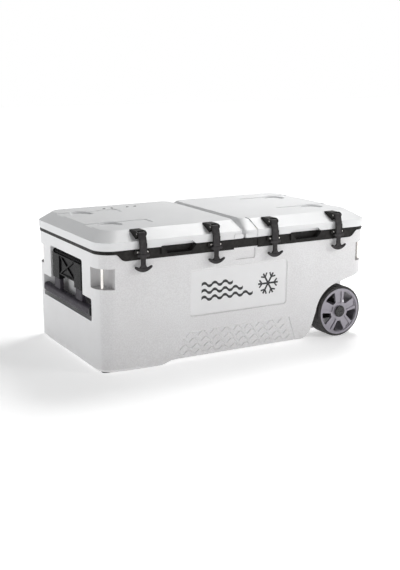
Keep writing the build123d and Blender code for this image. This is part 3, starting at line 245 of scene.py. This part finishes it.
def shell_material():
    """Rotomoulded shell: pebbled all over except on the smooth badge panel and inside recesses."""
    n = Nodes("shell_pebbled")
    x, y, z = n.axes()
    panel = n.math("MULTIPLY", n.inside(x, -0.186, 0.164, 0.004), n.inside(z, 0.152, 0.288, 0.004))
    side = n.inside(y, -0.236, 0.236, 0.006)
    smooth = n.math("ADD", panel, side, clamp=True)
    textured = n.math("SUBTRACT", 1.0, smooth)

    cloud = n.noise(7, 4, 0.6)
    base = n.mix(n.remap(cloud, 0.3, 0.7), (0.775, 0.770, 0.776), (0.815, 0.815, 0.822))
    pits = n.remap(n.noise(300, 3, 0.6), 0.40, 0.60)
    base = n.mix(n.math("MULTIPLY", n.math("MULTIPLY", pits, textured), 0.30), base, (0.56, 0.535, 0.545))
    # Darker towards the bottom, in noisy patches
    low = n.remap(z, 0.0, 0.07, 0.16, 0.0, smooth=True)
    darker_near_bottom = n.math("MULTIPLY", low, n.remap(n.noise(60, 5, 0.7), 0.35, 0.65))
    base = n.mix(darker_near_bottom, base, (0.45, 0.43, 0.40))
    scuffs = n.remap(n.noise(1.0, 4, 0.65, n.stretch((18, 18, 140))), 0.66, 0.74)
    base = n.mix(n.math("MULTIPLY", scuffs, 0.10), base, (0.62, 0.61, 0.60))
    # Painted shade: the walls of the corner pockets are darkened in the base colour to stand in for the shade
    # inside them
    beyond_x = n.remap(n.math("ABSOLUTE", x), 0.4470, 0.4476)
    beyond_y = n.remap(n.math("ABSOLUTE", y), 0.1940, 0.1946)
    pocket_painted_shade = n.math("MULTIPLY", n.math("MULTIPLY", beyond_x, beyond_y), n.inside(z, 0.2618, 0.3252, 0.0004))
    base = n.mix(n.math("MULTIPLY", pocket_painted_shade, 0.55), base, (0.40, 0.39, 0.39))
    n.link(base, n.shader.inputs["Base Color"])
    n.link(n.mix(n.math("MULTIPLY", textured, 0.8), (0.38, 0.38, 0.38), (0.58, 0.58, 0.58)),
           n.shader.inputs["Roughness"])

    first = n.bump(n.cells(330, "SMOOTH_F1"), 0.0012, n.math("MULTIPLY", textured, 0.75))
    ripple = n.noise(14, 2, 0.5)
    n.link(n.bump(ripple, 0.0016, 0.12, first), n.shader.inputs["Normal"])
    return n.material


def lid_material():
    """Lid skin: finer grain than the tub, faint moulding waves and a few light scuffs."""
    n = Nodes("lid_grained")
    cloud = n.noise(6, 4, 0.6)
    base = n.mix(n.remap(cloud, 0.3, 0.7), (0.795, 0.80, 0.805), (0.83, 0.835, 0.84))
    pits = n.remap(n.noise(520, 3, 0.6), 0.42, 0.62)
    base = n.mix(n.math("MULTIPLY", pits, 0.07), base, (0.62, 0.62, 0.62))
    scuffs = n.remap(n.noise(1.0, 4, 0.65, n.stretch((22, 110, 22))), 0.66, 0.74)
    base = n.mix(n.math("MULTIPLY", scuffs, 0.10), base, (0.64, 0.63, 0.62))
    n.link(base, n.shader.inputs["Base Color"])
    n.link(n.remap(n.noise(24, 5, 0.6), 0.3, 0.7, 0.40, 0.52), n.shader.inputs["Roughness"])
    first = n.bump(n.cells(560, "SMOOTH_F1"), 0.0006, 0.35)
    n.link(n.bump(n.noise(10, 2, 0.5), 0.0016, 0.10, first), n.shader.inputs["Normal"])
    return n.material


def make_materials():
    """Materials by the record's slots, with the variants that paint_nodes picks by node."""
    return {
        "shell": shell_material(),
        "lid": lid_material(),
        "liner_white": surface("liner_smooth", (0.82, 0.83, 0.83), 0.02, 8, (0.22, 0.34), (260, 0.0002, 0.2)),
        "foam": surface("foam_cellular", (0.80, 0.79, 0.74), 0.06, 30, (0.8, 0.95), (900, 0.0010, 0.8),
                        speck=0.3),
        "trim_black": surface("trim_satin", (0.016, 0.0150, 0.0140), 0.22, 26, (0.34, 0.50),
                              (850, 0.0003, 0.5), dust=0.03, shine=0.15),
        "steel": surface("steel_brushed", (0.62, 0.61, 0.59), 0.06, 40, (0.18, 0.34), (900, 0.0001, 0.4),
                         metal=1.0, fibre=(900, 900, 60)),
        "decal_black": surface("decal_ink", (0.016, 0.016, 0.017), 0.15, 60, (0.30, 0.42),
                               (430, 0.0003, 0.4)),
        "rubber_black": surface("rubber_matte", (0.022, 0.0195, 0.021), 0.20, 34, (0.50, 0.66),
                                (1100, 0.0003, 0.6), dust=0.05, shine=0.35),
        "grip_grey": surface("grip_soft_plastic", (0.044, 0.039, 0.050), 0.12, 30, (0.40, 0.56),
                             (1300, 0.0003, 0.6), speck=0.15, dust=0.04, shine=0.12),
        "grip_cap_black": surface("grip_end_plastic", (0.020, 0.020, 0.022), 0.15, 40, (0.35, 0.5),
                                  (900, 0.0002, 0.4)),
        "tyre_black": surface("tyre_rubber", (0.026, 0.0245, 0.0245), 0.22, 38, (0.62, 0.84),
                              (1000, 0.0004, 0.7), dust=0.16, dust_colour=(0.30, 0.28, 0.26)),
        "rim_silver": surface("rim_metallic_plastic", (0.30, 0.285, 0.32), 0.06, 30, (0.30, 0.42),
                              (1500, 0.0001, 0.4), metal=0.45, speck=0.12),
        "cap_black": surface("cap_plastic", (0.020, 0.019, 0.020), 0.15, 50, (0.22, 0.34), (900, 0.0002, 0.4),
                             shine=0.4),
        "yoke": surface("yoke_gloss", (0.0065, 0.0065, 0.0072), 0.2, 40, (0.20, 0.34), (700, 0.0001, 0.3),
                        shine=0.04),
        "pin_steel": surface("pin_polished", (0.74, 0.72, 0.69), 0.05, 60, (0.16, 0.28), (900, 0.0001, 0.3),
                             metal=0.9, fibre=(60, 900, 900)),
        "bushing_white": surface("bushing_nylon", (0.74, 0.74, 0.71), 0.03, 40, (0.35, 0.5),
                                 (700, 0.0002, 0.4)),
        "drain_white": surface("drain_plastic", (0.77, 0.78, 0.79), 0.03, 34, (0.36, 0.5),
                               (650, 0.0003, 0.4)),
    }


def paint_nodes(materials):
    """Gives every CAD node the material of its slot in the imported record."""
    slots = {part["node"]: part["material_slot"] for part in frame["record"]["subparts"]}
    # Nodes that look different from the rest of their slot
    variants = {"outer_shell": "shell", "handle_yoke": "yoke", "handle_bracket": "yoke",
                "tie_down_rods": "pin_steel"}
    for node, obj in NODES.items():
        slot = variants.get(node, slots[node])
        if slot == "shell_white":
            slot = "lid"
        for place in obj.material_slots:
            place.material = materials[slot]
        if not obj.material_slots:
            obj.data.materials.append(materials[slot])


# ---------------------------------------------------------------- mesh helpers
def piece(name, bm, material, body, replaces=(), levels=0, angle=40):
    bmesh.ops.remove_doubles(bm, verts=bm.verts, dist=1e-7)
    bmesh.ops.recalc_face_normals(bm, faces=bm.faces)
    mesh = bpy.data.meshes.new(name)
    bm.to_mesh(mesh)
    bm.free()
    mesh.materials.append(material)
    obj = bpy.data.objects.new(name, mesh)
    SCENE.collection.objects.link(obj)
    if levels:
        modifier = obj.modifiers.new("smooth", "SUBSURF")
        modifier.levels = levels
        modifier.render_levels = levels
    mesh.shade_smooth()
    if not levels:
        mesh.set_sharp_from_angle(angle=math.radians(angle))
    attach(obj, body)
    if replaces:
        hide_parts(*replaces)
    return obj


def loft(bm, rings, caps=True, closed=False):
    """Skins rings of equal length; caps the first and last, or joins them when closed."""
    made = [[bm.verts.new(point) for point in ring] for ring in rings]
    pairs = list(zip(made, made[1:]))
    if closed:
        pairs.append((made[-1], made[0]))
    for a, b in pairs:
        for i in range(len(a)):
            j = (i + 1) % len(a)
            bm.faces.new((a[i], a[j], b[j], b[i]))
    if caps and not closed:
        bm.faces.new(list(reversed(made[0])))
        bm.faces.new(made[-1])


def rounded_section(half_a, half_b, corner, per_corner=4):
    """Points of a rounded rectangle as (a, b) pairs."""
    corner = min(corner, half_a * 0.999, half_b * 0.999)
    points = []
    for quarter, (sa, sb) in enumerate(((1, 1), (-1, 1), (-1, -1), (1, -1))):
        centre = (sa * (half_a - corner), sb * (half_b - corner))
        for step in range(per_corner):
            angle = math.radians(90 * (quarter + step / (per_corner - 1)))
            points.append((centre[0] + corner * math.cos(angle), centre[1] + corner * math.sin(angle)))
    return points


def catmull(points, steps):
    """Smooth points through a list of tuples."""
    vectors = [Vector(p) for p in points]
    out = []
    for i in range(len(vectors) - 1):
        p0, p1 = vectors[max(i - 1, 0)], vectors[i]
        p2, p3 = vectors[i + 1], vectors[min(i + 2, len(vectors) - 1)]
        for s in range(steps):
            t = s / steps
            out.append(0.5 * (2 * p1 + (p2 - p0) * t + (2 * p0 - 5 * p1 + 4 * p2 - p3) * t ** 2
                              + (3 * p1 - p0 - 3 * p2 + p3) * t ** 3))
    out.append(vectors[-1])
    return out


# ---------------------------------------------------------------- tyres
def add_tyre(name, body, material):
    """Band tyre with rounded shoulders, two running grooves and staggered cross grooves."""
    low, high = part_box(name)
    centre = Vector(((low[0] + high[0]) / 2, 0, (low[2] + high[2]) / 2))
    radius = (high[2] - low[2]) / 2
    wide = high[1] - low[1]
    band_depth = 0.0083
    inner = radius - band_depth
    shoulder = [(0.0052, 0.0), (0.0024, 0.0010), (0.0007, 0.0032)]
    flat_start = 0.0055
    flat_steps = 34
    profile = [(inner, 0.0)]
    profile += [(radius - drop, inward) for drop, inward in shoulder]
    for i in range(flat_steps + 1):
        profile.append((radius, flat_start + (wide - 2 * flat_start) * i / flat_steps))
    profile += [(radius - drop, wide - inward) for drop, inward in reversed(shoulder)]
    profile.append((inner, wide))

    segments = 252
    groove_shares = (0.36, 0.64)
    groove_half_share = 0.026
    running_groove, shoulder_groove, middle_groove = 0.0018, 0.0016, 0.0012
    rings = []
    for s in range(segments):
        angle = 2 * math.pi * s / segments
        direction = Vector((math.cos(angle), 0, math.sin(angle)))
        ring = []
        for r, across in profile:
            share = across / wide
            if r >= radius - 0.0001:
                groove = 0.0
                if any(abs(share - place) < groove_half_share for place in groove_shares):
                    groove = running_groove
                stagger = 3 if share > 0.5 else 0
                middle = groove_shares[0] <= share <= groove_shares[1]
                if not middle and (s + stagger) % 7 in (0, 1):
                    groove = shoulder_groove
                if middle and (s + 2) % 14 in (0, 1):
                    groove = middle_groove
                r -= groove
            ring.append(centre + direction * r + Vector((0, low[1] + across, 0)))
        rings.append(ring)
    bm = bmesh.new()
    loft(bm, rings, closed=True)
    piece(f"{name}_treaded", bm, material, body, (name,), angle=30)


# ---------------------------------------------------------------- rubber latches
def add_latch(name, material):
    """Moulded rubber strap with side beads and ribs, a cross rib, and an anchor-shaped grip."""
    low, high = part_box(name)
    mid_x = (low[0] + high[0]) / 2
    front = low[1]
    top, bottom = high[2], low[2]
    half = 0.0125
    waist = 0.0080
    strap_y = front + 0.0070
    rib_z = bottom + 0.0505

    def at(x, y, z):
        return Vector((mid_x + x, y, z))

    bm = bmesh.new()
    # Strap, from the pin barrel down to the grip
    path = [(strap_y + 0.0132, top - 0.0062, 0.0052), (strap_y + 0.0085, top - 0.0125, 0.0042),
            (strap_y + 0.0050, top - 0.0200, 0.0036), (strap_y + 0.0020, top - 0.0310, 0.0033),
            (strap_y + 0.0002, top - 0.0440, 0.0032), (strap_y, top - 0.0600, 0.0032),
            (strap_y, top - 0.0850, 0.0032), (strap_y, bottom + 0.0080, 0.0032)]
    smooth = catmull(path, 8)
    rings = []
    for i, point in enumerate(smooth):
        before, after = smooth[max(i - 1, 0)], smooth[min(i + 1, len(smooth) - 1)]
        along = Vector((0, after[0] - before[0], after[1] - before[1])).normalized()
        outward = Vector((0, along[2], -along[1]))
        if outward[1] > 0:
            outward = -outward
        share = min(1.0, max(0.0, (point[1] - rib_z + 0.0120) / 0.0090))
        section = rounded_section(waist + (half - waist) * share, point[2], 0.0022)
        rings.append([at(a, point[0], point[1]) + outward * b for a, b in section])
    loft(bm, rings)
    # Barrel round the pin
    barrel = []
    barrel_radius, barrel_inset = 0.0057, 0.0058
    turns = [2 * math.pi * k / 20 for k in range(20)]
    barrel_ends = [(-half, 0.0050), (-half + 0.0008, barrel_radius)]
    barrel_ends += [(half - 0.0008, barrel_radius), (half, 0.0050)]
    for x, r in barrel_ends:
        barrel.append([at(x, high[1] - barrel_inset + r * math.cos(t), top - barrel_inset + r * math.sin(t))
                       for t in turns])
    loft(bm, barrel)
    # Raised beads along both edges and three short ribs across the strap
    for x in (-half + 0.0018, half - 0.0018):
        rings = [[at(x + a, strap_y - 0.0030 + b, z) for a, b in rounded_section(0.0012, 0.0011, 0.0010)]
                 for z in (rib_z + 0.0040, rib_z + 0.0060, top - 0.0350, top - 0.0330)]
        loft(bm, rings)
    for z in (bottom + 0.0300, bottom + 0.0345, bottom + 0.0390):
        rings = [[at(x, strap_y - 0.0031 + b, z + a) for a, b in rounded_section(0.0013, 0.0010, 0.0009)]
                 for x in (-0.0062, -0.0055, 0.0055, 0.0062)]
        loft(bm, rings)
    # Cross rib that reaches out to both keeper lugs
    rings = []
    for x in (-0.0195, -0.0190, -0.0175, -0.0125, 0.0125, 0.0175, 0.0190, 0.0195):
        size = 0.72 if abs(x) > 0.0192 else (0.92 if abs(x) > 0.018 else 1.0)
        rings.append([at(x, strap_y - 0.0002 + b, rib_z + a)
                      for a, b in rounded_section(0.0046 * size, 0.0046 * size, 0.0024)])
    loft(bm, rings)
    # Anchor grip: a bar that bows down, thickens in the middle and curls out to blunt tips
    rings = []
    steps = 24
    for i in range(steps + 1):
        u = -1 + 2 * i / steps
        x = 0.0290 * u
        drop = 0.0062 + 0.0118 * abs(u) ** 2.1
        tall = 0.0064 - 0.0028 * abs(u) ** 1.5
        deep = 0.0046 - 0.0012 * abs(u)
        if i in (0, steps):
            tall, deep = tall * 0.55, deep * 0.55
        curl = -0.0012 * abs(u) ** 2
        slope = 0.0118 * 2.1 * abs(u) ** 1.1 / 0.0290 * (1 if u > 0 else -1)
        lean = math.atan(slope)
        ring = []
        for a, b in rounded_section(tall, deep, 0.0034, 5):
            ring.append(at(x - a * math.sin(lean), max(front, strap_y - 0.0012 + curl + b), bottom + drop
                           + a * math.cos(lean)))
        rings.append(ring)
    loft(bm, rings)
    # Web between strap and grip
    rings = []
    web = ((0.0250, 0), (0.0200, 0.0008), (0.0160, 0.0032), (0.0125, 0.0080), (0.0100, 0.0135))
    for rise, flare in web:
        section = rounded_section(waist + flare, 0.0034, 0.0026)
        rings.append([at(a, strap_y - 0.0004 + b, bottom + rise) for a, b in section])
    loft(bm, rings)
    piece(f"{name}_moulded", bm, material, name, (name,), levels=1)


# ---------------------------------------------------------------- keeper pins
def add_keeper_pins(material):
    """Four bright pins, each with a sleeve on both sides of the strap between its lugs."""
    low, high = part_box("keeper_pins")
    centre = Vector((0, (low[1] + high[1]) / 2, (low[2] + high[2]) / 2))
    radius = (high[2] - low[2]) / 2
    sleeve = radius + 0.0009
    pin_half, pin_bevel = 0.0255, 0.0005
    sleeve_start, sleeve_end, sleeve_bevel = 0.0132, 0.0195, 0.0007
    sides = 24
    bm = bmesh.new()
    for number in range(1, 5):
        strap_low, strap_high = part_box(f"latch_{number}")
        mid_x = (strap_low[0] + strap_high[0]) / 2
        spans = [[(-pin_half, radius * 0.8), (-pin_half + pin_bevel, radius), (pin_half - pin_bevel, radius),
                  (pin_half, radius * 0.8)]]
        for side in (-1, 1):
            spans.append([(side * sleeve_start, sleeve * 0.7), (side * (sleeve_start + sleeve_bevel), sleeve),
                          (side * (sleeve_end - sleeve_bevel), sleeve), (side * sleeve_end, sleeve * 0.7)])
        for span in spans:
            rings = []
            for x, r in span:
                turns = [2 * math.pi * k / sides for k in range(sides)]
                rings.append([centre + Vector((mid_x + x, r * math.cos(t), r * math.sin(t))) for t in turns])
            loft(bm, rings)
    piece("keeper_pins_sleeved", bm, material, "cooler_body", ("keeper_pins",), angle=50)


# ---------------------------------------------------------------- build
add_camera()
add_light()
add_floor()
MATERIALS = make_materials()
paint_nodes(MATERIALS)
for end in ("front", "rear"):
    add_tyre(f"{end}_tyre", f"{end}_wheel", MATERIALS["tyre_black"])
for number in range(1, 5):
    add_latch(f"latch_{number}", MATERIALS["rubber_black"])
add_keeper_pins(MATERIALS["pin_steel"])
